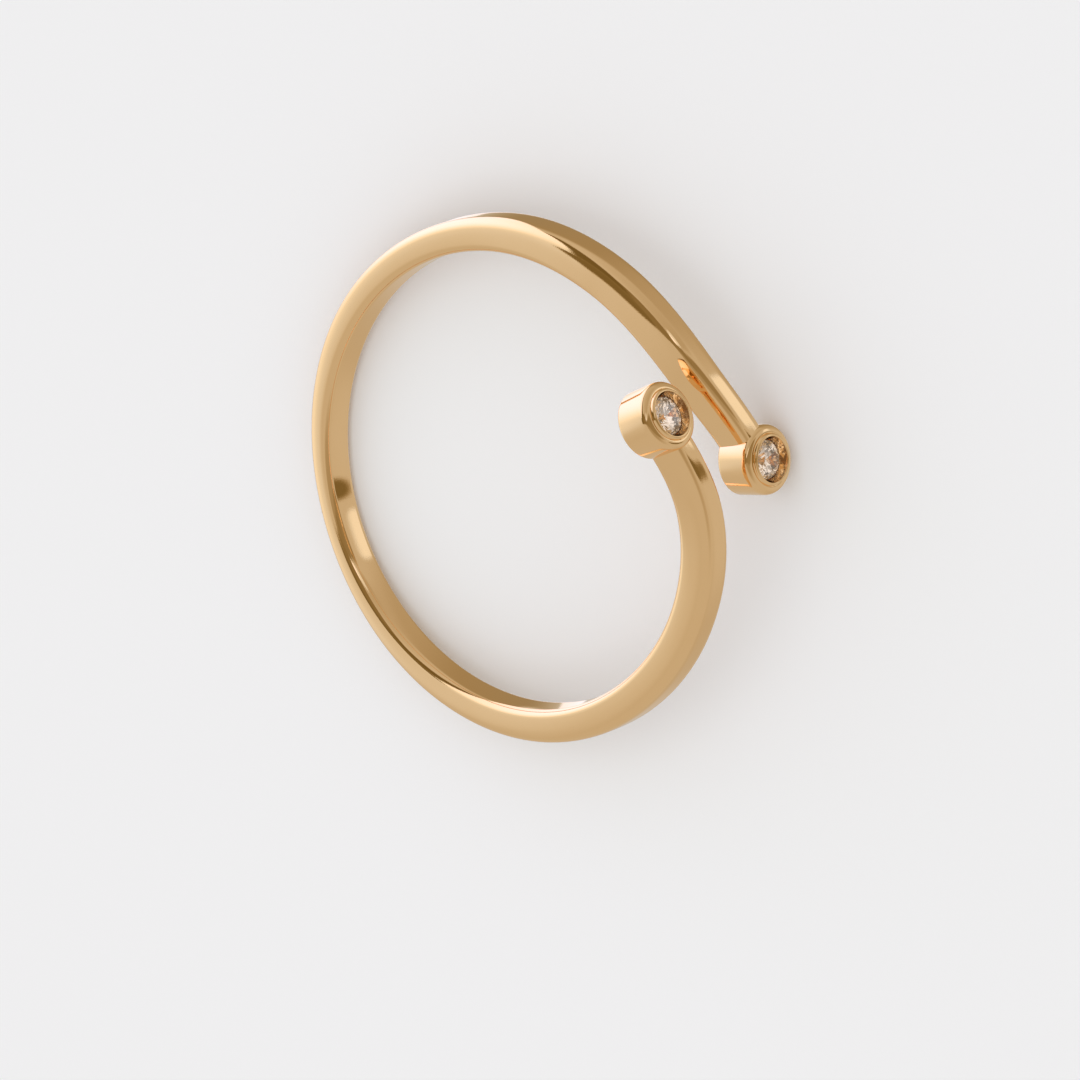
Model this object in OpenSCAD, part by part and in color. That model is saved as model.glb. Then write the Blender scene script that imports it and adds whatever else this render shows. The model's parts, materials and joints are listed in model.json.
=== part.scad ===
// Open ring whose two ends pass each other side by side, each end with a cup that holds a round stone.
// The ring lies on its side: its own axis points up and leans back, and its ends face -Y.

/* [Finger hole] */
// Inner diameter of the ring
finger_d = 17; // [15:0.5:20]

/* [Band] */
// Squareness of the band's outer half, where 2 is a plain oval
squareness = 4; // [3:0.5:6]
// Bevel of the two edges along the finger hole
inner_bevel = 0.12; // [0.08:0.02:0.16]
// Sections swept along the band
sections = 96; // [60:12:120]
// Points across the outer half of each section
arc_points = 16; // [10:2:20]

/* [Cups] */
// Half of the angle between the two cups, seen along the ring's axis
cup_angle = 8; // [6:0.5:9]
// Lip above the wall of the finger hole
cup_height = 1.7; // [1.6:0.05:1.8]
// Flat back above the wall of the finger hole
cup_lift = 0.1; // [0.1:0.02:0.2]
// Widest diameter, under the rounded shoulder
cup_d = 2.56; // [2.5:0.02:2.66]
// Diameter at the back, before its edge is rounded
cup_back_d = 2.52; // [2.44:0.02:2.56]
// Radius of the rounded back edge
back_round = 0.14; // [0.1:0.02:0.2]
// Depth of the rounded shoulder, down from the lip
shoulder_depth = 0.48; // [0.4:0.02:0.54]
// Squareness of the shoulder's curve, where 2 is a plain oval
shoulder_squareness = 3; // [2:0.5:4]
// Rise of the shoulder towards the lip for each unit inwards, on top of that curve
shoulder_slope = 0.14; // [0:0.02:0.2]
// Depth of the groove round the lip
groove_depth = 0.04; // [0.02:0.01:0.05]
// Width of that groove
groove_wide = 0.05; // [0.04:0.01:0.06]
// Outer diameter of the thin raised lip
lip_d = 1.84; // [1.8:0.02:1.9]
// Wall of the lip
lip_wall = 0.07; // [0.06:0.01:0.08]
// Step from the lip down to the shoulder
lip_step = 0.06; // [0.04:0.01:0.08]

/* [Stones] */
// Diameter of a stone
stone_d = 1.46; // [1.4:0.02:1.5]
// Girdle below the lip
stone_sink = 0.26; // [0.22:0.02:0.3]
// Share of the diameter taken by the table
table_share = 0.56; // [0.5:0.02:0.62]
// Height of the crown above the girdle
crown_height = 0.2; // [0.16:0.02:0.22]
// Thickness of the girdle
girdle = 0.04; // [0.03:0.01:0.06]
// Depth of the pavilion below the girdle
pavilion_depth = 0.6; // [0.54:0.02:0.64]
// Clearance round the stone in its seat
seat_gap = 0.04; // [0.03:0.01:0.05]

/* [Rest] */
// Lean of the ring's axis as it lies on one cup and the far side of the band
lean = 10.2; // [9:0.1:11]

/* [Hidden] */
$fn = 96;

// Sections of the band, by the angle round the ring from the middle of its ends, anticlockwise from above.
// RISE is the height of the section's middle on the ring's axis, THICK its radial and WIDE its axial size.
ANGLE = 0;
RISE = 1;
THICK = 2;
WIDE = 3;
STATIONS = [
    [ -8, -2.40, 1.50, 1.35],
    [ 15, -0.80, 1.50, 1.40],
    [ 45, -0.35, 1.45, 1.45],
    [ 85, -0.35, 1.20, 1.60],
    [130, -0.05, 1.05, 1.50],
    [180,  0.20, 0.85, 1.40],
    [230,  0.30, 1.15, 1.40],
    [275,  0.35, 1.30, 1.60],
    [315,  0.35, 1.35, 1.40],
    [345,  0.80, 1.45, 1.30],
    [368,  2.10, 1.50, 1.20]
];
LAST = len(STATIONS) - 1;

finger_r = finger_d / 2;
// The swept band starts this far inside the finger hole, which is then bored true
bore_allowance = 0.15;
bore_length = 12;
// Each end of the band stops inside its cup, this far short of the cup's axis
end_gap = 0.45;
end_angle = atan(end_gap / (finger_r + cup_lift));
band_from = -cup_angle + end_angle;
band_to = 360 + cup_angle - end_angle;

cup_r = cup_d / 2;
cup_back_r = cup_back_d / 2;
lip_r = lip_d / 2;
shoulder_foot_r = lip_r + groove_wide;
shoulder_rise = shoulder_depth - lip_step - shoulder_slope * (cup_r - shoulder_foot_r);
mouth_r = lip_r - lip_wall;
lip_at = finger_r + cup_height;
girdle_at = lip_at - stone_sink;
round_steps = 4;
shoulder_steps = 9;
front_rise = STATIONS[LAST][RISE];
rear_rise = STATIONS[0][RISE];

stone_r = stone_d / 2;
table_r = stone_r * table_share;
seat_r = stone_r + seat_gap;
seat_depth = pavilion_depth + girdle + 3 * seat_gap;
seat_floor_r = 0.12;
facets = 8;
half_facet = 180 / facets;
// Where the star and the lower girdle facets end, as shares of the stone's radius
star_share = 0.77;
lower_share = 0.24;

// Smooth curve through one column of the stations
function slope(column, k) =
    let (before = STATIONS[max(k - 1, 0)], after = STATIONS[min(k + 1, LAST)])
    (after[column] - before[column]) / (after[ANGLE] - before[ANGLE]);
function station_before(angle) =
    max([for (k = [0:LAST - 1]) if (k == 0 || STATIONS[k][ANGLE] <= angle) k]);
function along(column, angle) =
    let (
        k = station_before(angle),
        a = STATIONS[k],
        b = STATIONS[k + 1],
        span = b[ANGLE] - a[ANGLE],
        s = (angle - a[ANGLE]) / span
    )
    (1 + 2 * s) * pow(1 - s, 2) * a[column] + s * pow(1 - s, 2) * span * slope(column, k)
    + s * s * (3 - 2 * s) * b[column] + s * s * (s - 1) * span * slope(column, k + 1);

// A point by its distance from the ring's axis, its angle from the front and its height on the axis
function ring_point(radius, angle, height) = [radius * sin(angle), -radius * cos(angle), height];
function soft(x) = sign(x) * pow(abs(x), 2 / squareness);

// One section as [outwards from the finger hole, up from its middle]: a round outer half and a bevelled foot
function section(thick, wide) = concat(
    [for (i = [0:arc_points])
        let (turn = 180 * i / arc_points)
        [inner_bevel + (thick - inner_bevel) * soft(sin(turn)), wide / 2 * soft(cos(turn))]],
    [[-bore_allowance, inner_bevel - wide / 2], [-bore_allowance, wide / 2 - inner_bevel]]
);
section_points = arc_points + 3;

band_points = [
    for (i = [0:sections])
        let (angle = band_from + (band_to - band_from) * i / sections, rise = along(RISE, angle))
        for (p = section(along(THICK, angle), along(WIDE, angle)))
            ring_point(finger_r + p[0], angle, rise + p[1])
];
band_faces = concat(
    [for (i = [0:sections - 1], j = [0:section_points - 1])
        let (
            a = i * section_points + j,
            b = i * section_points + (j + 1) % section_points
        )
        [a, a + section_points, b + section_points, b]],
    [[for (j = [0:section_points - 1]) j]],
    [[for (j = [section_points - 1:-1:0]) sections * section_points + j]]
);

// Outline of a cup, as [radius, distance from the ring's axis], from the middle of its back to the lip
cup_outline = concat(
    [[0, finger_r + cup_lift]],
    [for (i = [0:round_steps])
        let (turn = 90 * i / round_steps)
        [cup_back_r - back_round * (1 - sin(turn)), finger_r + cup_lift + back_round * (1 - cos(turn))]],
    [for (i = [0:shoulder_steps])
        let (
            turn = 90 * i / shoulder_steps,
            out = shoulder_foot_r + (cup_r - shoulder_foot_r) * pow(cos(turn), 2 / shoulder_squareness),
            curve = shoulder_rise * pow(sin(turn), 2 / shoulder_squareness)
        )
        [out, lip_at - shoulder_depth + curve + shoulder_slope * (cup_r - out)]],
    [[lip_r + groove_wide / 4, lip_at - lip_step - groove_depth], [lip_r, lip_at], [0, lip_at]]
);
// What is turned out of a cup: the mouth inside its lip, then a seat that follows the stone
seat_outline = [
    [0, girdle_at - seat_depth],
    [seat_floor_r, girdle_at - seat_depth],
    [seat_r, girdle_at - girdle],
    [seat_r, girdle_at + seat_gap],
    [mouth_r, lip_at - lip_step],
    [mouth_r, lip_at + lip_step],
    [0, lip_at + lip_step]
];

// Height of a point on the plane of a main crown or pavilion facet, by its distance out along that facet
function crown_z(out) = crown_height * (stone_r - out) / (stone_r - table_r);
function pavilion_z(out) = -girdle - pavilion_depth * (1 - out / stone_r);
function facet_ring(count, radius, first, z) =
    [for (i = [0:count - 1]) [radius * cos(first + 360 * i / count), radius * sin(first + 360 * i / count), z]];
star_r = stone_r * star_share;
lower_r = stone_r * lower_share;
stone_points = concat(
    facet_ring(facets, table_r, 0, crown_height),
    facet_ring(facets, star_r, half_facet, crown_z(star_r * cos(half_facet))),
    facet_ring(2 * facets, stone_r, 0, 0),
    facet_ring(2 * facets, stone_r, 0, -girdle),
    facet_ring(facets, lower_r, half_facet, pavilion_z(lower_r * cos(half_facet))),
    [[0, 0, pavilion_z(0)]]
);
// First point of each ring in that list
TABLE = 0;
STAR = facets;
UPPER = 2 * facets;
LOWER = 4 * facets;
PAVILION = 6 * facets;
CULET = 7 * facets;
stone_faces = concat(
    [[for (i = [facets - 1:-1:0]) TABLE + i]],
    [for (i = [0:facets - 1])
        let (
            next = (i + 1) % facets,
            last = (i + facets - 1) % facets,
            g = 2 * i,
            g_half = 2 * i + 1,
            g_next = 2 * next
        )
        each [
            [TABLE + i, TABLE + next, STAR + i],
            [TABLE + i, STAR + i, UPPER + g, STAR + last],
            [STAR + i, UPPER + g_half, UPPER + g],
            [STAR + i, UPPER + g_next, UPPER + g_half],
            [UPPER + g, UPPER + g_half, LOWER + g_half, LOWER + g],
            [UPPER + g_half, UPPER + g_next, LOWER + g_next, LOWER + g_half],
            [PAVILION + i, LOWER + g, LOWER + g_half],
            [PAVILION + i, LOWER + g_half, LOWER + g_next],
            [CULET, PAVILION + last, LOWER + g, PAVILION + i]
        ]]
);

// The lying ring touches the ground with its lowest points, and its box is centred over the origin
function leaned(p) =
    [p[0], p[1] * cos(lean) + p[2] * sin(lean), p[2] * cos(lean) - p[1] * sin(lean)];
function cup_point(p, turn, angle, rise) =
    let (across = p[0] * cos(turn))
    [p[1] * sin(angle) + across * cos(angle), across * sin(angle) - p[1] * cos(angle), rise + p[0] * sin(turn)];
cup_turns = [0:6:354];
outer_points = [
    for (p = band_points) leaned(p),
    for (p = cup_outline, turn = cup_turns) leaned(cup_point(p, turn, cup_angle, front_rise)),
    for (p = cup_outline, turn = cup_turns) leaned(cup_point(p, turn, -cup_angle, rear_rise))
];
function low(axis) = min([for (p = outer_points) p[axis]]);
function high(axis) = max([for (p = outer_points) p[axis]]);
ring_place = [-(low(0) + high(0)) / 2, -(low(1) + high(1)) / 2, -low(2)];

module lying() {
    translate(ring_place)
        rotate([-lean, 0, 0])
            children();
}

// Turns what stands on +Z to point outwards at an angle round the ring
module facing_out(angle, rise) {
    translate([0, 0, rise])
        rotate([90, 0, angle])
            children();
}

module cup_body() {
    rotate_extrude()
        polygon(cup_outline);
}

// What the flat back of a cup keeps clear of the band
module cup_clearing() {
    cylinder(r = cup_back_r - back_round, h = finger_r + cup_lift);
}

module cup_seat() {
    rotate_extrude()
        polygon(seat_outline);
}

module swept_band() {
    difference() {
        polyhedron(band_points, band_faces, convexity = 6);
        facing_out(cup_angle, front_rise) cup_clearing();
        facing_out(-cup_angle, rear_rise) cup_clearing();
    }
}

module stone(angle, rise) {
    color([0.93, 0.92, 0.91])
        lying()
            facing_out(angle, rise)
                translate([0, 0, girdle_at])
                    polyhedron(stone_points, stone_faces, convexity = 2);
}

module band() {
    color([0.83, 0.66, 0.4])
        lying()
            difference() {
                union() {
                    swept_band();
                    facing_out(cup_angle, front_rise) cup_body();
                    facing_out(-cup_angle, rear_rise) cup_body();
                }
                facing_out(cup_angle, front_rise) cup_seat();
                facing_out(-cup_angle, rear_rise) cup_seat();
                cylinder(r = finger_r, h = bore_length, center = true);
            }
}

module front_stone() {
    stone(cup_angle, front_rise);
}

module rear_stone() {
    stone(-cup_angle, rear_rise);
}

band();
front_stone();
rear_stone();
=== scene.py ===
"""An open gold finger ring with two small clear stones, lying on a pale table in soft studio light.

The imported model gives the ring's place, its lean and its finger hole. This script remodels the metal as one
polished piece, cuts the two stones facet by facet, gives both their finish and sets up the table, the lights
and the camera. Lengths are in metres and angles in degrees unless a name says otherwise.
"""
import json
import logging
from collections.abc import Callable, Iterator
from contextlib import contextmanager
from dataclasses import dataclass
from enum import Enum
from itertools import pairwise
from math import atan, atan2, cos, degrees, pi, radians, sin
from typing import Any

import bmesh
import bpy
from mathutils import Matrix, Vector


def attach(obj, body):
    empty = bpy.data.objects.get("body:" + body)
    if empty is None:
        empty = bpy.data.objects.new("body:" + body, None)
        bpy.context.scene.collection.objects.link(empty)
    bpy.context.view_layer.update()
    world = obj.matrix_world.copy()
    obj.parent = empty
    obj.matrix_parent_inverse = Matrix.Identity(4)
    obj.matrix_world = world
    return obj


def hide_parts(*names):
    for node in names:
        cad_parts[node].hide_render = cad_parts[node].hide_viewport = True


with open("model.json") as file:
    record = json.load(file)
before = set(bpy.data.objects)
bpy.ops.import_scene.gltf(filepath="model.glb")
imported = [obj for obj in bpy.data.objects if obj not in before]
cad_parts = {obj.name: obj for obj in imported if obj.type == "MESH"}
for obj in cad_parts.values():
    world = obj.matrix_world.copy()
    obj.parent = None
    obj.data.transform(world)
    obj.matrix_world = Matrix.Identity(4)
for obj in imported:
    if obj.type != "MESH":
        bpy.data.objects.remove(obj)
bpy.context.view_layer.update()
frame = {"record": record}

# A millimetre, and the shortest length that counts, both in metres
MM = 0.001
TINY = 1e-7
# A full turn in degrees, and how far a face's normal has to point one way, out of 1, to count as facing it
FULL_TURN = 360
FACING = 0.5
# The places of a Mix node's two colours and of its mixed colour among its sockets
FIRST_COLOUR = 6
SECOND_COLOUR = 7
MIXED_COLOUR = 2
log = logging.getLogger("ring")

# Red, green, blue and alpha
Colour = tuple[float, float, float, float]


class Slot(Enum):
    """The record's material slots."""

    GOLD = "yellow_gold"
    STONE = "clear_stone"


class Elements(Enum):
    """What a selection is made of, by the name of its edit mode and of its list in the mesh."""

    VERTS = ("VERT", "verts")
    EDGES = ("EDGE", "edges")
    FACES = ("FACE", "faces")


class Join(Enum):
    """The ways in which one solid works on another."""

    WELD = "UNION"
    CARVE = "DIFFERENCE"


# Modelling by hand


def deselect() -> None:
    """Leave no object selected."""
    bpy.ops.object.select_all(action="DESELECT")


def hold(piece: bpy.types.Object) -> None:
    """Make a piece the only selected object and the active one.

    Args:
        piece: The object that the next operators act on.
    """
    deselect()
    piece.select_set(True)
    bpy.context.view_layer.objects.active = piece


@contextmanager
def editing(piece: bpy.types.Object) -> Iterator[None]:
    """Open a piece in edit mode with nothing selected, and close it again.

    Args:
        piece: The mesh object to edit.
    """
    hold(piece)
    bpy.ops.object.mode_set(mode="EDIT")
    bpy.ops.mesh.select_all(action="DESELECT")
    yield
    bpy.ops.object.mode_set(mode="OBJECT")


def pick(piece: bpy.types.Object, elements: Elements, wanted: Callable[[Any], bool]) -> None:
    """Select the elements of a piece in edit mode that pass a test, and nothing else.

    Args:
        piece: The object that is in edit mode.
        elements: Whether vertices, edges or faces are picked.
        wanted: Says of one element whether it is picked.
    """
    mode, listed = elements.value
    bpy.ops.mesh.select_mode(type=mode)
    bpy.ops.mesh.select_all(action="DESELECT")
    mesh = bmesh.from_edit_mesh(piece.data)
    for element in getattr(mesh, listed):
        element.select_set(wanted(element))
    mesh.select_flush_mode()
    bmesh.update_edit_mesh(piece.data)


def settle(piece: bpy.types.Object, place: Matrix) -> None:
    """Put a piece in its place, keep that place in its mesh and leave the piece held.

    Args:
        piece: The object.
        place: Where it goes.
    """
    hold(piece)
    piece.matrix_world = place
    bpy.ops.object.transform_apply(location=True, rotation=True, scale=True)


def just_added() -> bpy.types.Object:
    """Give the primitive that was just added, with its place kept in its mesh.

    Returns:
        The primitive.
    """
    piece = bpy.context.object
    settle(piece, piece.matrix_world.copy())
    return piece


def apply_modifiers(piece: bpy.types.Object) -> None:
    """Apply all modifiers of a piece, from the first to the last.

    Args:
        piece: The object to finish.
    """
    hold(piece)
    for name in [modifier.name for modifier in piece.modifiers]:
        bpy.ops.object.modifier_apply(modifier=name)


def combine(piece: bpy.types.Object, tool: bpy.types.Object, how: Join) -> None:
    """Weld another solid to a piece or carve it out, and remove that solid.

    Args:
        piece: The solid that is kept.
        tool: The solid that is used up.
        how: Whether it is welded on or carved out.
    """
    modifier = piece.modifiers.new(how.name.lower(), "BOOLEAN")
    modifier.operation = how.value
    modifier.solver = "MANIFOLD"
    modifier.object = tool
    apply_modifiers(piece)
    bpy.data.objects.remove(tool)


def joined(pieces: list[bpy.types.Object]) -> bpy.types.Object:
    """Join several objects into the first of them.

    Args:
        pieces: The objects to join.

    Returns:
        The joined object.
    """
    deselect()
    for piece in pieces:
        piece.select_set(True)
    bpy.context.view_layer.objects.active = pieces[0]
    bpy.ops.object.join()
    return pieces[0]


# Shader maths


class Value:
    """A number in a node tree, written in ordinary arithmetic."""

    def __init__(self, nodes: "Nodes", socket: bpy.types.NodeSocket) -> None:
        """Wrap an output socket of a node tree."""
        self.nodes = nodes
        self.socket = socket

    def _maths(self, operation: str, *numbers: "Value | float", clamp: bool = False) -> "Value":
        """Add one Math node.

        Args:
            operation: The node's operation.
            numbers: Its numbers or links, in order.
            clamp: Whether the result is held between 0 and 1.

        Returns:
            The node's result.
        """
        settings = {"operation": operation, "use_clamp": clamp}
        return self.nodes.value("ShaderNodeMath", settings, dict(enumerate(numbers)))

    def __add__(self, other: "Value | float") -> "Value":
        """Give the sum."""
        return self._maths("ADD", self, other)

    __radd__ = __add__

    def __sub__(self, other: "Value | float") -> "Value":
        """Give the difference."""
        return self._maths("SUBTRACT", self, other)

    def __rsub__(self, other: float) -> "Value":
        """Give the difference from a plain number."""
        return self._maths("SUBTRACT", other, self)

    def __mul__(self, other: "Value | float") -> "Value":
        """Give the product."""
        return self._maths("MULTIPLY", self, other)

    __rmul__ = __mul__

    def __truediv__(self, other: "Value | float") -> "Value":
        """Give the quotient."""
        return self._maths("DIVIDE", self, other)

    def __pow__(self, power: float) -> "Value":
        """Give the number raised to a power."""
        return self._maths("POWER", self, power)

    def size(self) -> "Value":
        """Give the number without its sign."""
        return self._maths("ABSOLUTE", self)

    def clamped(self) -> "Value":
        """Give the number held between 0 and 1."""
        return self._maths("ADD", self, 0.0, clamp=True)

    def wrapped(self, low: float, high: float) -> "Value":
        """Give the number brought into a range by whole steps of its length."""
        return self._maths("WRAP", self, high, low)

    def bearing_with(self, other: "Value") -> "Value":
        """Give the bearing in degrees, from +Y towards +X, where this is X and the other number is Y."""
        return self._maths("ARCTAN2", self, other) * degrees(1)

    def height(self) -> "Value":
        """Give the height in degrees whose sine this is."""
        return self._maths("ARCSINE", self) * degrees(1)

    def eased(self, start: float, end: float) -> "Value":
        """Give 0 at the start and 1 at the end, with a smooth way between them."""
        inputs = {"Value": self, "From Min": start, "From Max": end}
        return self.nodes.value("ShaderNodeMapRange", {"interpolation_type": "SMOOTHSTEP"}, inputs)


class Nodes:
    """A node tree that is filled with one call for each node."""

    def __init__(self, tree: bpy.types.NodeTree) -> None:
        """Empty a tree, ready to be filled."""
        self.tree = tree
        tree.nodes.clear()

    def add(self, kind: str, settings: dict[str, Any], inputs: dict[str | int, Any]) -> bpy.types.Node:
        """Add a node.

        Args:
            kind: The node's type.
            settings: Its own settings, such as a Math node's operation, which are set first.
            inputs: A number, colour or link for each socket, by its name or place.

        Returns:
            The new node.
        """
        node = self.tree.nodes.new(kind)
        for name, setting in settings.items():
            setattr(node, name, setting)
        for key, given in inputs.items():
            given = given.socket if isinstance(given, Value) else given
            if isinstance(given, bpy.types.NodeSocket):
                self.tree.links.new(given, node.inputs[key])
            else:
                node.inputs[key].default_value = given
        return node

    def value(self, kind: str, settings: dict[str, Any], inputs: dict[str | int, Any]) -> Value:
        """Add a node and give its first output as a number."""
        return Value(self, self.add(kind, settings, inputs).outputs[0])

    def noise(self, place: bpy.types.NodeSocket, scale: float, layers: float, grain: float = 0.5) -> Value:
        """Add a noise pattern.

        Args:
            place: Where the pattern is read.
            scale: How many of its largest clouds lie on each unit.
            layers: How many finer layers it has.
            grain: Strength of each layer against the one before it.

        Returns:
            The pattern, as a number from 0 to 1.
        """
        inputs = {"Vector": place, "Scale": scale, "Detail": layers, "Roughness": grain}
        return self.value("ShaderNodeTexNoise", {}, inputs)

    def mix(
        self, share: Value, first: Colour | bpy.types.NodeSocket, second: Colour | bpy.types.NodeSocket
    ) -> bpy.types.NodeSocket:
        """Mix two colours.

        Args:
            share: Share of the second colour.
            first: The first colour, or a link to it.
            second: The second colour, or a link to it.

        Returns:
            The mixed colour.
        """
        inputs = {"Factor": share, FIRST_COLOUR: first, SECOND_COLOUR: second}
        return self.add("ShaderNodeMix", {"data_type": "RGBA"}, inputs).outputs[MIXED_COLOUR]


def new_material(name: str) -> tuple[bpy.types.Material, Nodes]:
    """Make an empty material.

    Args:
        name: The material's name.

    Returns:
        The material and its node tree.
    """
    material = bpy.data.materials.new(name)
    material.use_nodes = True
    return material, Nodes(material.node_tree)


def dress(piece: bpy.types.Object, material: bpy.types.Material) -> None:
    """Give a piece one material all over."""
    piece.data.materials.clear()
    piece.data.materials.append(material)


@dataclass(frozen=True)
class PolishedGold:
    """Mirror-polished yellow gold with faint buffing marks.

    Attributes:
        name: The material's name.
        light: Colour of the clean metal.
        warm: Colour of its slightly warmer clouds.
        gloss: Lowest roughness.
        haze: What the clouds add to the roughness.
        cloud_size: Size of the clouds.
        cloud_layers: Finer layers in the clouds.
        cloud_grain: Strength of each of those layers against the one before it.
        buff_size: Width of the buffing marks.
        buff_layers: Finer layers in the marks.
        buff_depth: Depth of the buffing marks.
    """

    name: str = "polished_yellow_gold"
    light: Colour = (1.0, 0.71, 0.395, 1.0)
    warm: Colour = (0.98, 0.68, 0.365, 1.0)
    gloss: float = 0.03
    haze: float = 0.04
    cloud_size: float = 1.6 * MM
    cloud_layers: float = 4.0
    cloud_grain: float = 0.6
    buff_size: float = 0.05 * MM
    buff_layers: float = 2.0
    buff_depth: float = 0.0006 * MM

    def material(self) -> bpy.types.Material:
        """Make the material.

        Returns:
            The finished material.
        """
        material, nodes = new_material(self.name)
        place = nodes.add("ShaderNodeTexCoord", {}, {}).outputs["Object"]
        clouds = nodes.noise(place, 1 / self.cloud_size, self.cloud_layers, self.cloud_grain)
        marks = nodes.noise(place, 1 / self.buff_size, self.buff_layers)
        colour = nodes.mix(clouds, self.light, self.warm)
        relief = {"Height": marks, "Strength": 1.0, "Distance": self.buff_depth}
        bump = nodes.add("ShaderNodeBump", {}, relief)
        metal = nodes.add(
            "ShaderNodeBsdfPrincipled",
            {},
            {
                "Base Color": colour,
                "Metallic": 1.0,
                "Roughness": (clouds * self.haze + self.gloss).clamped(),
                "Normal": bump.outputs["Normal"],
            },
        )
        nodes.add("ShaderNodeOutputMaterial", {}, {"Surface": metal.outputs[0]})
        return material


@dataclass(frozen=True)
class CutStone:
    """Clear, very bright stone with the faintest warm cast.

    Attributes:
        name: The material's name.
        clear: Colour of the stone.
        tinged: Colour of its faintly warmer clouds.
        bending: Refractive index.
        glow: Colour of the faint painted glow that the stone gives off, though it is no lamp.
        painted_glow_strength: Strength of that painted glow at each wall.
        cloud_size: Size of the clouds.
        cloud_layers: Finer layers in the clouds.
    """

    name: str = "clear_cut_stone"
    clear: Colour = (0.98, 0.94, 0.90, 1.0)
    tinged: Colour = (0.94, 0.86, 0.81, 1.0)
    bending: float = 2.2
    glow: Colour = (1.0, 0.72, 0.52, 1.0)
    painted_glow_strength: float = 0.02
    cloud_size: float = 0.5 * MM
    cloud_layers: float = 2.0

    def material(self) -> bpy.types.Material:
        """Make the material.

        Returns:
            The finished material.
        """
        material, nodes = new_material(self.name)
        place = nodes.add("ShaderNodeTexCoord", {}, {}).outputs["Object"]
        clouds = nodes.noise(place, 1 / self.cloud_size, self.cloud_layers)
        colour = nodes.mix(clouds, self.clear, self.tinged)
        stone = nodes.add(
            "ShaderNodeBsdfPrincipled",
            {},
            {
                "Base Color": colour,
                "Roughness": 0.0,
                "IOR": self.bending,
                "Transmission Weight": 1.0,
                # A faint painted glow, though the stone is no lamp
                "Emission Color": self.glow,
                "Emission Strength": self.painted_glow_strength,
            },
        )
        nodes.add("ShaderNodeOutputMaterial", {}, {"Surface": stone.outputs[0]})
        return material


# The ring


@dataclass(frozen=True)
class RingPlace:
    """Where the ring lies.

    Attributes:
        centre: Middle of the finger hole, on the ring's own axis.
        axis: The ring's own axis, upwards.
        hole: Radius of the finger hole.
    """

    centre: Vector
    axis: Vector
    hole: float

    @classmethod
    def from_record(cls, record: dict[str, Any]) -> "RingPlace":
        """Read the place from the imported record's finger hole.

        Args:
            record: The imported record.

        Returns:
            The place.
        """
        mount = next(mount for mount in record["mounts"] if mount["name"] == "finger_hole")
        return cls(Vector(mount["pos_m"]), Vector(mount["axis"]), mount["dims"]["r_mm"] * MM)

    def lying(self) -> Matrix:
        """Give the way from the upright ring, its axis on +Z, to the lying one."""
        lean = atan2(self.axis.y, self.axis.z)
        return Matrix.Translation(self.centre) @ Matrix.Rotation(-lean, 4, "X")


@dataclass(frozen=True)
class Station:
    """One section of the band.

    Attributes:
        angle: Its place round the ring, from the middle of the ends, anticlockwise from above.
        rise: Height of its middle on the ring's axis.
        thick: Its radial size.
        wide: Its axial size.
    """

    angle: float
    rise: float
    thick: float
    wide: float


STATIONS = tuple(
    Station(angle, rise * MM, thick * MM, wide * MM)
    for angle, rise, thick, wide in (
        (-8, -2.40, 1.50, 1.35),
        (15, -0.80, 1.50, 1.40),
        (45, -0.35, 1.45, 1.45),
        (85, -0.35, 1.20, 1.60),
        (130, -0.05, 1.05, 1.50),
        (180, 0.20, 0.85, 1.40),
        (230, 0.30, 1.15, 1.40),
        (275, 0.35, 1.30, 1.60),
        (315, 0.35, 1.35, 1.40),
        (345, 0.80, 1.45, 1.30),
        (368, 2.10, 1.50, 1.20),
    )
)


@dataclass(frozen=True)
class Route:
    """The smooth course of the band through its stations.

    Attributes:
        stations: The sections that it passes through, in order round the ring.
    """

    stations: tuple[Station, ...] = STATIONS

    def _slope(self, name: str, index: int) -> float:
        """Work out how fast one size changes at a station.

        Args:
            name: The size's name.
            index: The station's place in the list.

        Returns:
            The change of the size over one degree.
        """
        before = self.stations[max(index - 1, 0)]
        after = self.stations[min(index + 1, len(self.stations) - 1)]
        return (getattr(after, name) - getattr(before, name)) / (after.angle - before.angle)

    def at(self, angle: float) -> Station:
        """Work out the section at any angle, on a smooth curve through the stations.

        Args:
            angle: The place round the ring.

        Returns:
            The section there.
        """
        last = len(self.stations) - 2
        index = max((k for k in range(last + 1) if self.stations[k].angle <= angle), default=0)
        before, after = self.stations[index], self.stations[index + 1]
        span = after.angle - before.angle
        way = (angle - before.angle) / span
        sizes = {
            name: (1 + 2 * way) * (1 - way) ** 2 * getattr(before, name)
            + way * (1 - way) ** 2 * span * self._slope(name, index)
            + way * way * (3 - 2 * way) * getattr(after, name)
            + way * way * (way - 1) * span * self._slope(name, index + 1)
            for name in ("rise", "thick", "wide")
        }
        return Station(angle=angle, **sizes)


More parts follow.
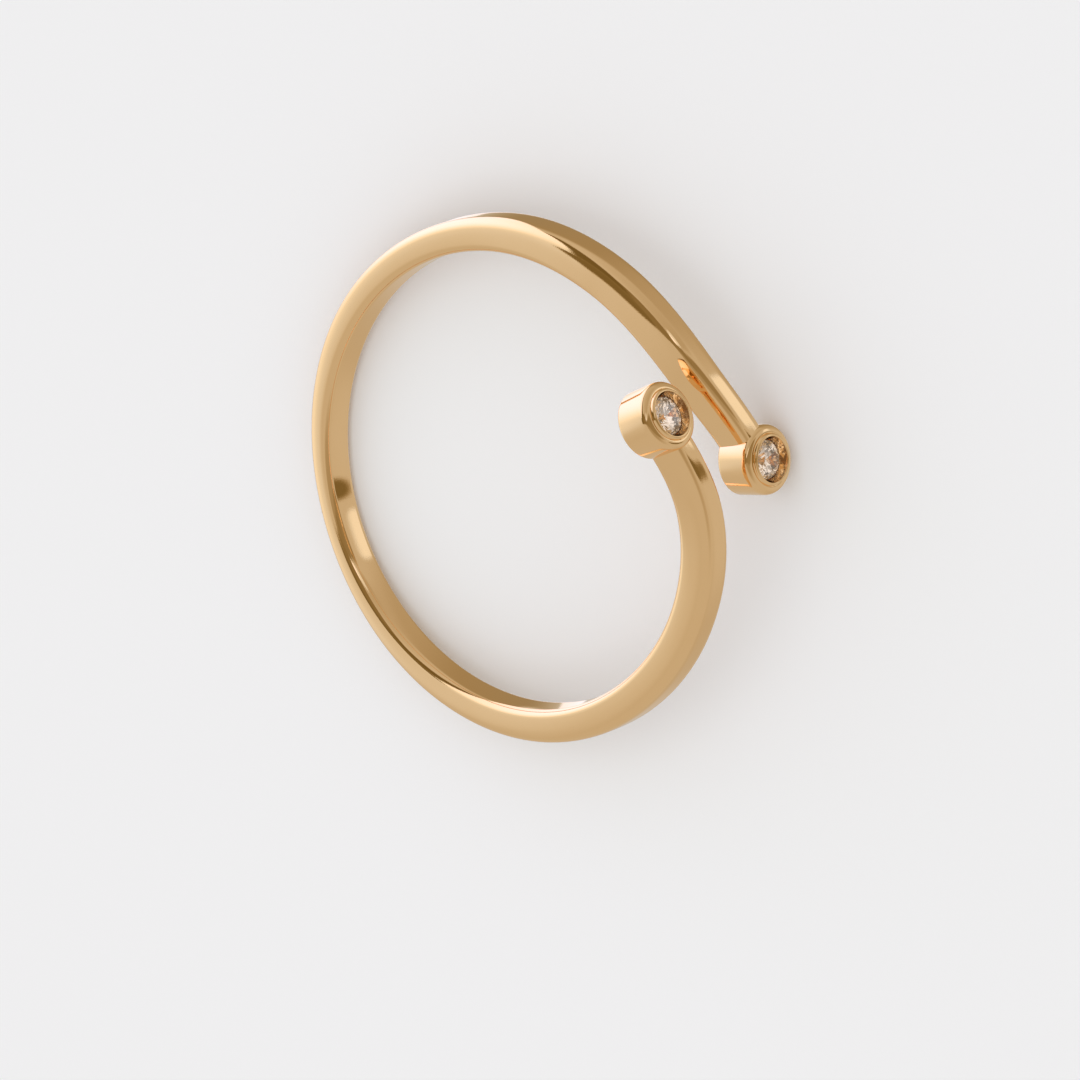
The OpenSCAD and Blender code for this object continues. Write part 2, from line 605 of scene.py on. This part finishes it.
@dataclass(frozen=True)
class Cup:
    """A round cup that holds one stone, with a rounded shoulder and a thin raised collar round the stone.

    Attributes:
        angle: Its place round the ring.
        rise: Its height on the ring's axis.
        back: Distance of its flat back from the ring's axis.
        lip: Distance of its lip from the ring's axis.
        back_radius: Radius at the back, before its edge is rounded.
        radius: Widest radius, under the shoulder.
        back_round: Radius of the rounded back edge.
        back_steps: Steps in that edge.
        shoulder: Depth of the rounded shoulder, down from the lip.
        shoulder_power: Power of the shoulder's curve, where 2 is a plain oval.
        shoulder_slope: Rise of the shoulder towards the lip, for each unit inwards, on top of that curve.
        groove: Depth of the groove round the collar.
        groove_wide: Width of that groove.
        lip_radius: Outer radius of the collar's lip.
        lip_wall: Wall of the lip.
        lip_step: Step from the lip down to the shoulder.
        lip_round: Radius of the lip's outer edge.
        mouth_round: Radius of its inner edge.
        lip_steps: Steps in each of those edges.
        seat_radius: Radius of the seat at the stone's widest place.
        seat_top: How far the seat's widest place lies below the lip.
        seat_wall: Height of the seat's upright part, at the stone's girdle.
        seat_depth: Depth of the seat below its widest place.
        seat_floor: Radius of the seat's floor.
        sides: Sides of the turned metal.
        shoulder_steps: Steps in the shoulder's curve.
    """

    angle: float
    rise: float
    back: float = 8.60 * MM
    lip: float = 10.20 * MM
    back_radius: float = 1.26 * MM
    radius: float = 1.28 * MM
    back_round: float = 0.14 * MM
    back_steps: int = 8
    shoulder: float = 0.48 * MM
    shoulder_power: float = 3.0
    shoulder_slope: float = 0.14
    groove: float = 0.005 * MM
    groove_wide: float = 0.04 * MM
    lip_radius: float = 0.95 * MM
    lip_wall: float = 0.12 * MM
    lip_step: float = 0.12 * MM
    lip_round: float = 0.08 * MM
    mouth_round: float = 0.03 * MM
    lip_steps: int = 5
    seat_radius: float = 0.727 * MM
    seat_top: float = 0.295 * MM
    seat_wall: float = 0.06 * MM
    seat_depth: float = 0.72 * MM
    seat_floor: float = 0.12 * MM
    sides: int = 128
    shoulder_steps: int = 14

    def facing_out(self) -> Matrix:
        """Give the way from what stands on +Z to what points outwards at the cup's place."""
        turn = Matrix.Rotation(radians(self.angle), 4, "Z") @ Matrix.Rotation(pi / 2, 4, "X")
        return Matrix.Translation((0, 0, self.rise)) @ turn

    def build(self) -> bpy.types.Object:
        """Turn the cup, from its back to its lip and down into its seat.

        Returns:
            The cup, in its place on the upright ring.
        """
        wall_top = self.lip - self.shoulder

        def on_top(face: bmesh.types.BMFace) -> bool:
            """Say whether a face is the straight wall's flat top."""
            return face.normal.z > FACING and face.calc_center_median().z > wall_top - TINY

        bpy.ops.mesh.primitive_cylinder_add(
            vertices=self.sides,
            radius=self.radius,
            depth=wall_top - self.back,
            location=(0, 0, (wall_top + self.back) / 2),
        )
        cup = just_added()
        with editing(cup):
            pick(cup, Elements.FACES, lambda face: face.normal.z < -FACING)
            narrowing = self.back_radius / self.radius
            bpy.ops.transform.resize(value=(narrowing, narrowing, 1), center_override=(0, 0, self.back))
            bpy.ops.mesh.bevel(offset=self.back_round, segments=self.back_steps, affect="EDGES")
            pick(cup, Elements.FACES, on_top)
            self._raise_shoulder(wall_top)
            self._sink_seat()
            bpy.ops.mesh.select_all(action="SELECT")
            bpy.ops.mesh.normals_make_consistent(inside=False)
        settle(cup, self.facing_out())
        return cup

    def _raise_shoulder(self, wall_top: float) -> None:
        """Draw the picked top face up and in along an oval, down into the groove and up to the lip.

        Args:
            wall_top: Distance of the straight wall's top from the ring's axis.
        """
        inner = self.lip_radius + self.groove_wide
        inwards = self.radius - inner
        upwards = self.shoulder - self.lip_step - self.shoulder_slope * inwards
        out, height = self.radius, wall_top
        for step in range(1, self.shoulder_steps + 1):
            turn = pi / 2 * step / self.shoulder_steps
            next_out = inner + inwards * abs(cos(turn)) ** (2 / self.shoulder_power)
            curve = upwards * sin(turn) ** (2 / self.shoulder_power)
            next_height = wall_top + curve + self.shoulder_slope * (self.radius - next_out)
            self._draw(next_out / out, next_height - height, height)
            out, height = next_out, next_height
        foot = self.lip_radius + self.groove_wide / 2
        collar_wall = self.lip_step + self.groove - self.lip_round
        self._draw(foot / out, -self.groove, height)
        self._draw(self.lip_radius / foot, collar_wall, height - self.groove)
        self._round_edge(self.lip_radius - self.lip_round, self.lip_round, 0)

    def _round_edge(self, middle: float, size: float, start: float) -> None:
        """Draw the picked face along a quarter of a circle, round one edge of the lip.

        Args:
            middle: Radius at which the middle of that circle lies.
            size: Radius of the circle.
            start: Where the quarter starts, as an angle in radians from outwards towards upwards.
        """
        level = self.lip - size
        out, height = middle + size * cos(start), level + size * sin(start)
        for step in range(1, self.lip_steps + 1):
            turn = start + pi / 2 * step / self.lip_steps
            next_out, next_height = middle + size * cos(turn), level + size * sin(turn)
            self._draw(next_out / out, next_height - height, height)
            out, height = next_out, next_height

    def _sink_seat(self) -> None:
        """Draw the picked lip face in and down along the mouth and the seat to its floor."""
        mouth = self.lip_radius - self.lip_wall
        mouth_foot = self.lip - self.mouth_round
        girdle = self.lip - self.seat_top
        wall_foot = girdle - self.seat_wall
        self._draw((mouth + self.mouth_round) / (self.lip_radius - self.lip_round), 0, self.lip)
        self._round_edge(mouth + self.mouth_round, self.mouth_round, pi / 2)
        self._draw(self.seat_radius / mouth, girdle - mouth_foot, mouth_foot)
        self._draw(1, -self.seat_wall, girdle)
        self._draw(self.seat_floor / self.seat_radius, self.seat_wall - self.seat_depth, wall_foot)

    @staticmethod
    def _draw(share: float, up: float, height: float) -> None:
        """Extrude the picked face, then move it along +Z and change its size.

        Args:
            share: Its new size as a share of the old one.
            up: How far it moves.
            height: Its height before the move.
        """
        bpy.ops.mesh.extrude_region_move(TRANSFORM_OT_translate={"value": (0, 0, up)})
        bpy.ops.transform.resize(value=(share, share, 1), center_override=(0, 0, height + up))

    def core(self) -> bpy.types.Object:
        """Make the plain rod that clears the band's end from inside and under the cup.

        Returns:
            The rod, in its place on the upright ring.
        """
        bpy.ops.mesh.primitive_cylinder_add(
            vertices=self.sides,
            radius=self.back_radius - self.back_round,
            depth=2 * self.lip,
            location=(0, 0, self.lip),
        )
        rod = bpy.context.object
        settle(rod, self.facing_out() @ rod.matrix_world)
        return rod


@dataclass(frozen=True)
class Band:
    """The gold band with both its cups, one solid.

    Attributes:
        place: Where the ring lies.
        cups: The two cups, rear one first.
        route: The course of the band and its sizes along it.
        squareness: Power of the section's outer half, where 2 is a plain oval.
        inner_round: Radius of the two edges along the finger hole.
        inner_flat: Share of the thickness next to the inner wall where the sides are flat.
        round_steps: Steps in each of those edges.
        corner_steps: Steps in each quarter of the section's outer half.
        sections: Sections along the band.
        end_gap: How far each end stops short of its cup's axis.
        smooth_below: Largest angle between faces that are shaded as one surface.
    """

    place: RingPlace
    cups: tuple[Cup, Cup]
    route: Route = Route()
    squareness: float = 5.0
    inner_round: float = 0.30 * MM
    inner_flat: float = 0.38
    round_steps: int = 10
    corner_steps: int = 28
    sections: int = 200
    end_gap: float = 0.45 * MM
    smooth_below: float = 32.0

    def build(self) -> bpy.types.Object:
        """Model the metal.

        Returns:
            The finished piece, in its place.
        """
        band = self._bar()
        self._round_inner_edges(band)
        self._roll(band)
        combine(band, joined([cup.core() for cup in self.cups]), Join.CARVE)
        combine(band, joined([cup.build() for cup in self.cups]), Join.WELD)
        with editing(band):
            bpy.ops.mesh.select_all(action="SELECT")
            bpy.ops.mesh.remove_doubles(threshold=TINY)
        settle(band, self.place.lying())
        bpy.ops.object.shade_smooth_by_angle(angle=radians(self.smooth_below))
        band.name = "band_with_cups"
        return band

    def _sections(self) -> list[Station]:
        """Work out all sections of the band.

        Returns:
            The sections, from the rear end to the front end.
        """
        rear, front = self.cups
        short = degrees(atan(self.end_gap / rear.back))
        start = rear.angle + short
        span = FULL_TURN + front.angle - short - start
        return [self.route.at(start + span * k / self.sections) for k in range(self.sections + 1)]

    def _bar(self) -> bpy.types.Object:
        """Draw the band out as a straight bar along X, section by section, with its inner wall on Y = 0.

        Returns:
            The bar.
        """
        sections = self._sections()
        start = self.place.hole * radians(sections[0].angle)
        bpy.ops.mesh.primitive_plane_add(size=MM, location=(start, -MM / 2, 0), rotation=(0, pi / 2, 0))
        bar = just_added()
        with editing(bar):
            self._shape_end(bar, sections[0], start)
            for before, after in pairwise(sections):
                self._draw(before, after)
            bpy.ops.mesh.select_all(action="SELECT")
            bpy.ops.mesh.normals_make_consistent(inside=False)
        return bar

    def _shape_end(self, bar: bpy.types.Object, section: Station, start: float) -> None:
        """Shape the square of one millimetre that the bar starts from into its first section, and pick it.

        Args:
            bar: The square, upright at the bar's rear end, with its inner side on Y = 0.
            section: The section that it gets.
            start: Its place along X.
        """
        middle = (start, 0, 0)
        bpy.ops.mesh.select_all(action="SELECT")
        # Twice as wide as thick, so that the two rounded corners meet in the middle
        bpy.ops.transform.resize(value=(1, 1, 2), center_override=middle)
        pick(bar, Elements.VERTS, lambda vert: vert.co.y < -MM / 2)
        # A bevel with this profile follows a curve of the wanted power
        bpy.ops.mesh.bevel(
            offset=MM, profile=2 ** (-2 / self.squareness), segments=self.corner_steps, affect="VERTICES"
        )
        bpy.ops.mesh.select_all(action="SELECT")
        bpy.ops.mesh.remove_doubles(threshold=TINY)
        pick(bar, Elements.VERTS, lambda vert: -self.inner_flat * MM < vert.co.y < -TINY)
        bpy.ops.mesh.dissolve_verts()
        pick(bar, Elements.FACES, lambda face: True)
        growth = (1, section.thick / MM, section.wide / 2 / MM)
        bpy.ops.transform.resize(value=growth, center_override=middle)
        bpy.ops.transform.translate(value=(0, 0, section.rise))

    def _draw(self, before: Station, after: Station) -> None:
        """Draw the picked end of the bar on to the next section.

        Args:
            before: The section that it has.
            after: The section that it gets.
        """
        move = (self.place.hole * radians(after.angle - before.angle), 0, after.rise - before.rise)
        growth = (1, after.thick / before.thick, after.wide / before.wide)
        middle = (self.place.hole * radians(after.angle), 0, after.rise)
        bpy.ops.mesh.extrude_region_move(TRANSFORM_OT_translate={"value": move})
        bpy.ops.transform.resize(value=growth, center_override=middle)

    def _round_inner_edges(self, bar: bpy.types.Object) -> None:
        """Round the two long edges along the finger hole.

        Args:
            bar: The straight bar.
        """

        def long_inner_edge(edge: bmesh.types.BMEdge) -> bool:
            """Say whether an edge runs along the bar between its inner wall and one of its sides.

            Args:
                edge: The edge.

            Returns:
                Whether it is one of them.
            """
            on_wall = all(vert.co.y > -TINY for vert in edge.verts)
            along = abs(edge.verts[1].co.x - edge.verts[0].co.x) > TINY
            return on_wall and along and any(face.normal.y < FACING for face in edge.link_faces)

        with editing(bar):
            pick(bar, Elements.EDGES, long_inner_edge)
            bpy.ops.mesh.bevel(offset=self.inner_round, segments=self.round_steps, affect="EDGES")

    def _roll(self, bar: bpy.types.Object) -> None:
        """Roll the bar round the ring's axis.

        Args:
            bar: The straight bar, which becomes the open ring.
        """
        sections = self._sections()
        bend = bar.modifiers.new("roll", "SIMPLE_DEFORM")
        bend.deform_method = "BEND"
        bend.deform_axis = "Z"
        bend.angle = radians(sections[-1].angle - sections[0].angle)
        apply_modifiers(bar)
        # The bend has put the ring's axis one hole's radius away from the origin, along Y
        settle(bar, Matrix.Translation((0, -self.place.hole, 0)))


@dataclass(frozen=True)
class Brilliant:
    """A round brilliant, cut from a rod facet by facet.

    Attributes:
        girdle_at: Distance of the top of its girdle from the ring's axis.
        radius: Radius of the stone.
        table: Share of the radius to the corners of the table.
        star: Share of the radius to the tips of the star facets.
        lower: Share of the radius to the tips of the lower half facets.
        crown: Height of the table above the girdle.
        girdle: Thickness of the girdle.
        pavilion: Depth of the culet below the girdle.
        fold: Main facets on each side.
        sides: Sides of the rod.
    """

    girdle_at: float = 9.90 * MM
    radius: float = 0.70 * MM
    table: float = 0.56
    star: float = 0.77
    lower: float = 0.24
    crown: float = 0.20 * MM
    girdle: float = 0.04 * MM
    pavilion: float = 0.60 * MM
    fold: int = 8
    sides: int = 96

    def _point(self, share: float, turns: float, height: float) -> Vector:
        """Give a corner by its share of the radius, its turn in main facets and its height."""
        turn = 2 * pi * turns / self.fold
        return Vector((share * self.radius * cos(turn), share * self.radius * sin(turn), height))

    def _facets(self) -> list[tuple[Vector, Vector, Vector]]:
        """Work out the facets of the first fold. The table needs none, because it is the rod's own top.

        Returns:
            Three corners of each facet, anticlockwise from outside.
        """
        half_turn = cos(pi / self.fold)
        star_height = self.crown * (1 - self.star * half_turn) / (1 - self.table)
        lower_height = -self.girdle - self.pavilion * (1 - self.lower * half_turn)
        corner, next_corner = self._point(self.table, 0, self.crown), self._point(self.table, 1, self.crown)
        star = self._point(self.star, 0.5, star_height)
        last_star = self._point(self.star, -0.5, star_height)
        top = [self._point(1, turns, 0) for turns in (0, 0.5, 1)]
        foot = [self._point(1, turns, -self.girdle) for turns in (0, 0.5, 1)]
        lower = self._point(self.lower, 0.5, lower_height)
        last_lower = self._point(self.lower, -0.5, lower_height)
        return [
            (corner, star, next_corner),
            (corner, last_star, star),
            (star, top[0], top[1]),
            (star, top[1], top[2]),
            (lower, foot[1], foot[0]),
            (lower, foot[2], foot[1]),
            (lower, foot[0], last_lower),
        ]

    def build(self) -> bpy.types.Object:
        """Cut the stone, upright on +Z with its girdle at its distance from the ring's axis.

        Returns:
            The stone.
        """
        depth = self.crown + self.girdle + self.pavilion
        bpy.ops.mesh.primitive_cylinder_add(
            vertices=self.sides, radius=self.radius, depth=depth, location=(0, 0, self.crown - depth / 2)
        )
        stone = just_added()
        with editing(stone):
            for first, second, third in self._facets():
                outwards = (second - first).cross(third - first).normalized()
                for index in range(self.fold):
                    turn = Matrix.Rotation(2 * pi * index / self.fold, 3, "Z")
                    bpy.ops.mesh.select_all(action="SELECT")
                    bpy.ops.mesh.bisect(
                        plane_co=turn @ first,
                        plane_no=turn @ outwards,
                        use_fill=True,
                        clear_outer=True,
                        threshold=TINY,
                    )
            bpy.ops.mesh.select_all(action="SELECT")
            bpy.ops.mesh.remove_doubles(threshold=TINY)
            bpy.ops.mesh.normals_make_consistent(inside=False)
        settle(stone, Matrix.Translation((0, 0, self.girdle_at)))
        return stone


@dataclass(frozen=True)
class Ring:
    """The whole ring.

    Attributes:
        place: Where it lies.
    """

    place: RingPlace

    def build(self) -> list[bpy.types.Object]:
        """Model all pieces, dress them, hang them on the root body and hide the imported parts that they
        stand for.

        Returns:
            The pieces.
        """
        rear_end, front_end = STATIONS[0], STATIONS[-1]
        rear = Cup(angle=rear_end.angle, rise=rear_end.rise)
        front = Cup(angle=front_end.angle - FULL_TURN, rise=front_end.rise)
        band = Band(self.place, (rear, front)).build()
        dress(band, PolishedGold().material())
        self._enter(band, "band", Slot.GOLD)
        finish = CutStone().material()
        front_stone = Brilliant().build()
        front_stone.name = "front_cut_stone"
        rear_stone = front_stone.copy()
        rear_stone.data = front_stone.data.copy()
        rear_stone.name = "rear_cut_stone"
        bpy.context.collection.objects.link(rear_stone)
        for stone, cup, node in ((front_stone, front, "front_stone"), (rear_stone, rear, "rear_stone")):
            settle(stone, self.place.lying() @ cup.facing_out())
            dress(stone, finish)
            self._enter(stone, node, Slot.STONE)
        return [band, front_stone, rear_stone]

    @staticmethod
    def _enter(piece: bpy.types.Object, node: str, slot: Slot) -> None:
        """Hang a piece on the root body, hide the imported part that it stands for and log its faces.

        Args:
            piece: The finished piece.
            node: The node that it stands for.
            slot: The record's material slot; not used.
        """
        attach(piece, "root")
        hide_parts(node)
        log.info("%s stands for %s, with %d faces", piece.name, node, len(piece.data.polygons))


# The studio


def grey(level: float) -> Colour:
    """Give the plain grey of one level."""
    return level, level, level, 1.0


@dataclass(frozen=True)
class Panel:
    """A soft rounded panel of light, or a dark one, far out in the room, seen only in the ring's reflections.

    Attributes:
        bearing: Bearing of its middle, from +Y towards +X.
        height: Height of its middle over the table's plane.
        reach: How far it reaches to each side of its middle, and up and down from it.
        glow: Its radiance at its left and right ends.
        soft: Share of its reach over which its edge fades, half inside and half outside.
        square: Power of its outline, where 2 is a plain oval.
        build_up: Power with which its glow goes over from the left to the right.
        inside: Panels that show only within its outline.
    """

    bearing: float
    height: float
    reach: tuple[float, float]
    glow: tuple[float, float]
    soft: float = 0.3
    square: float = 2.4
    build_up: float = 1.0
    inside: tuple["Panel", ...] = ()

    def over(self, level: Value | float, bearing: Value, height: Value) -> Value:
        """Set the panel before what lies behind it.

        Args:
            level: Radiance of what lies behind.
            bearing: Bearing of the direction looked in.
            height: Height of the direction looked in.

        Returns:
            The radiance with the panel.
        """
        across = (bearing - self.bearing).wrapped(-FULL_TURN / 2, FULL_TURN / 2) / self.reach[0]
        up = (height - self.height) / self.reach[1]
        out = (across.size() ** self.square + up.size() ** self.square) ** (1 / self.square)
        share = (across * 0.5 + 0.5).clamped() ** self.build_up
        left, right = self.glow
        glow = share * (right - left) + left
        for panel in self.inside:
            glow = panel.over(glow, bearing, height)
        return (glow - level) * out.eased(1 + self.soft / 2, 1 - self.soft / 2) + level


@dataclass(frozen=True)
class Studio:
    """The pale table, its light and the panels round it.

    Attributes:
        floor_size: Side of the table.
        floor_colour: Its colour.
        backdrop: What the camera sees past the table.
        ambient: The room's light on the table.
        room: Radiance of the room between the panels, as the ring reflects it.
        shade: Colour of the room's darkest places.
        bright: Colour of its bright ones.
        bright_from: Radiance from which a place has the bright colour.
        glare: Colour of its brightest places.
        glare_from: Radiance from which the glare's colour comes in.
        glare_full: Radiance from which a place has it fully.
        glitter: Radiance of the darkest and the brightest patches that shine through the stones.
        glitter_edges: Levels of their noise at which a patch is darkest and brightest.
        glitter_scale: How fine those patches are.
        glitter_layers: Finer layers in their noise.
        glitter_tint: Their colour.
        lamp_height: Height of the soft lamp over the table.
        lamp_size: Side of the soft lamp.
        lamp_power: Its power.
        panels: The panels, from the furthest to the nearest.
    """

    floor_size: float = 2.0
    floor_colour: Colour = (0.9, 0.9, 0.9, 1.0)
    backdrop: float = 0.863
    ambient: float = 0.82
    room: float = 0.585
    shade: Colour = (1.0, 0.62, 0.02, 1.0)
    bright: Colour = (1.0, 1.0, 1.02, 1.0)
    bright_from: float = 0.75
    glare: Colour = (1.0, 0.84, 1.22, 1.0)
    glare_from: float = 1.0
    glare_full: float = 1.6
    glitter: tuple[float, float] = (0.24, 1.05)
    glitter_edges: tuple[float, float] = (0.38, 0.62)
    glitter_scale: float = 1.4
    glitter_layers: float = 1.0
    glitter_tint: Colour = (1.0, 0.89, 0.78, 1.0)
    lamp_height: float = 0.5
    lamp_size: float = 0.6
    lamp_power: float = 0.5
    panels: tuple[Panel, ...] = (
        # Walls to the left and the right, each with its bearing, height, reach across and up, and two glows
        Panel(262, -45, (38, 20), (0.54, 0.54), soft=1.0),
        Panel(115, -60, (55, 28), (0.42, 0.49), soft=0.5),
        Panel(124, 17, (34, 52), (0.62, 0.47), soft=0.2, square=5),
        # The dark ceiling and the dark wall to the front, with a bright slit in it
        Panel(95, 86, (97, 27), (0.25, 0.25), soft=0.15, square=4),
        Panel(200, 48, (34, 45), (0.36, 0.44), soft=0.9),
        Panel(172, 54, (15, 18), (0.28, 0.28), soft=0.4),
        Panel(179, 14, (16, 32), (0.29, 0.32), soft=0.35, square=3),
        Panel(152, 45, (7, 20), (0.80, 0.80), soft=0.5),
        Panel(152, 55, (5, 6), (1.2, 1.2), soft=0.6),
        # The dim and the paler side of what lies low
        Panel(72, -62, (42, 38), (0.33, 0.38), soft=0.9),
        Panel(216, -46, (30, 14), (0.61, 0.61), soft=1.2),
        # The wall behind, the window's dark frame, and the window with its two lamps
        Panel(-5, 26, (28, 36), (0.57, 0.74), soft=1.2),
        Panel(45, 32, (41, 36), (0.17, 0.17), soft=0.14, square=3.5),
        Panel(17, 60.5, (20, 13.5), (0.19, 0.22), soft=0.3, square=3),
        Panel(
            bearing=30,
            height=0,
            reach=(50, 53),
            glow=(0.62, 1.25),
            soft=0.05,
            square=2.6,
            build_up=1.3,
            inside=(
                Panel(6, 6, (16, 22), (0.97, 0.97), soft=1.4),
                Panel(46, -8, (24, 42), (1.65, 1.65), soft=1.4, square=2),
            ),
        ),
        # Its dark blind and its bright sill
        Panel(14, 56, (13, 7.5), (0.19, 0.20), soft=0.25, square=3),
        Panel(12, -57, (10, 6), (1.1, 1.1), soft=0.25),
        # The bright patch and the dark spot that the inner wall shows
        Panel(
            bearing=175.5,
            height=-39,
            reach=(11, 8),
            glow=(0.58, 0.58),
            soft=0.3,
            inside=(Panel(175.5, -38.2, (20, 3.9), (0.94, 0.94), soft=1.2),),
        ),
        Panel(196, -30, (4.5, 10), (0.20, 0.20), soft=0.6),
    )

    def build(self) -> None:
        """Set up the whole studio."""
        bpy.context.scene.view_settings.view_transform = "Standard"
        self._room()
        self._floor()
        self._lamp()

    def _room(self) -> None:
        """Fill the world: pale for the camera, soft for the table, and with the panels for the ring."""
        world = bpy.data.worlds.new("room")
        bpy.context.scene.world = world
        world.use_nodes = True
        nodes = Nodes(world.node_tree)
        direction = nodes.add("ShaderNodeTexCoord", {}, {}).outputs["Generated"]
        split = nodes.add("ShaderNodeSeparateXYZ", {}, {"Vector": direction})
        x, y, z = (Value(nodes, split.outputs[axis]) for axis in "XYZ")
        bearing, height = x.bearing_with(y), z.height()
        level: Value | float = self.room
        for panel in self.panels:
            level = panel.over(level, bearing, height)
        tint = nodes.mix((level / self.bright_from).clamped(), self.shade, self.bright)
        glaring = (level - self.glare_from) / (self.glare_full - self.glare_from)
        tint = nodes.mix(glaring.clamped(), tint, self.glare)
        patches = nodes.noise(direction, self.glitter_scale, self.glitter_layers).eased(*self.glitter_edges)
        darkest, brightest = self.glitter
        sparkle = patches * (brightest - darkest) + darkest
        to_ring = nodes.add("ShaderNodeBackground", {}, {"Color": tint, "Strength": level})
        to_stones = nodes.add("ShaderNodeBackground", {}, {"Color": self.glitter_tint, "Strength": sparkle})
        to_table = nodes.add("ShaderNodeBackground", {}, {"Color": grey(self.ambient)})
        to_camera = nodes.add("ShaderNodeBackground", {}, {"Color": grey(self.backdrop)})
        path = nodes.add("ShaderNodeLightPath", {}, {})
        seen = to_ring.outputs[0]
        for ray, light in (("Transmission", to_stones), ("Diffuse", to_table), ("Camera", to_camera)):
            inputs = {0: path.outputs[f"Is {ray} Ray"], 1: seen, 2: light.outputs[0]}
            seen = nodes.add("ShaderNodeMixShader", {}, inputs).outputs[0]
        nodes.add("ShaderNodeOutputWorld", {}, {"Surface": seen})

    def _floor(self) -> None:
        """Lay the plain pale table, which the metal doesn't mirror and the stones don't show."""
        deselect()
        bpy.ops.mesh.primitive_plane_add(size=self.floor_size)
        floor = bpy.context.object
        floor.name = "table_top"
        material, nodes = new_material("pale_table")
        paint = nodes.add("ShaderNodeBsdfDiffuse", {}, {"Color": self.floor_colour})
        nodes.add("ShaderNodeOutputMaterial", {}, {"Surface": paint.outputs[0]})
        dress(floor, material)
        floor.visible_glossy = False
        floor.visible_transmission = False

    def _lamp(self) -> None:
        """Hang the soft lamp over the table."""
        lamp = bpy.data.objects.new("soft_lamp", bpy.data.lights.new("soft_lamp", "AREA"))
        lamp.data.shape = "SQUARE"
        lamp.data.size = self.lamp_size
        lamp.data.energy = self.lamp_power
        lamp.location = (0, 0, self.lamp_height)
        lamp.visible_glossy = False
        lamp.visible_transmission = False
        bpy.context.collection.objects.link(lamp)


@dataclass(frozen=True)
class Eye:
    """The camera.

    Attributes:
        aim: The point in the middle of the picture.
        azimuth: Bearing of the camera, from -Y towards +X.
        elevation: Its height over the table.
        roll: Turn of the picture's upper edge from upright, clockwise.
        distance: Distance from the aim.
        lens: Focal length in millimetres, on a 36 mm sensor.
        depth: How many times nearer and further than the aim things still show.
    """

    aim: tuple[float, float, float] = (-2.337 * MM, 0.384 * MM, 2.180 * MM)
    azimuth: float = 9.246
    elevation: float = 56.733
    roll: float = 113.357
    distance: float = 407.2 * MM
    lens: float = 373.46
    depth: float = 10.0

    def build(self) -> None:
        """Set up the camera."""
        azimuth, elevation, roll = radians(self.azimuth), radians(self.elevation), radians(self.roll)
        back = Vector((sin(azimuth) * cos(elevation), -cos(azimuth) * cos(elevation), sin(elevation)))
        level = Vector((cos(azimuth), sin(azimuth), 0))
        upright = back.cross(level)
        up = upright * cos(roll) + level * sin(roll)
        right = up.cross(back)
        camera = bpy.data.objects.new("camera", bpy.data.cameras.new("camera"))
        camera.data.lens = self.lens
        camera.data.clip_start = self.distance / self.depth
        camera.data.clip_end = self.distance * self.depth
        place = Matrix((right, up, back)).transposed().to_4x4()
        place.translation = Vector(self.aim) + back * self.distance
        camera.matrix_world = place
        bpy.context.collection.objects.link(camera)
        bpy.context.scene.camera = camera


def main() -> None:
    """Build the ring, then the studio and the camera, and log how many pieces there are."""
    logging.basicConfig(level=logging.INFO, format="%(name)s: %(message)s")
    ring = Ring(RingPlace.from_record(frame["record"]))
    pieces = ring.build()
    log.info("%d pieces", len(pieces))
    Studio().build()
    Eye().build()
    deselect()


if __name__ == "__main__":
    main()
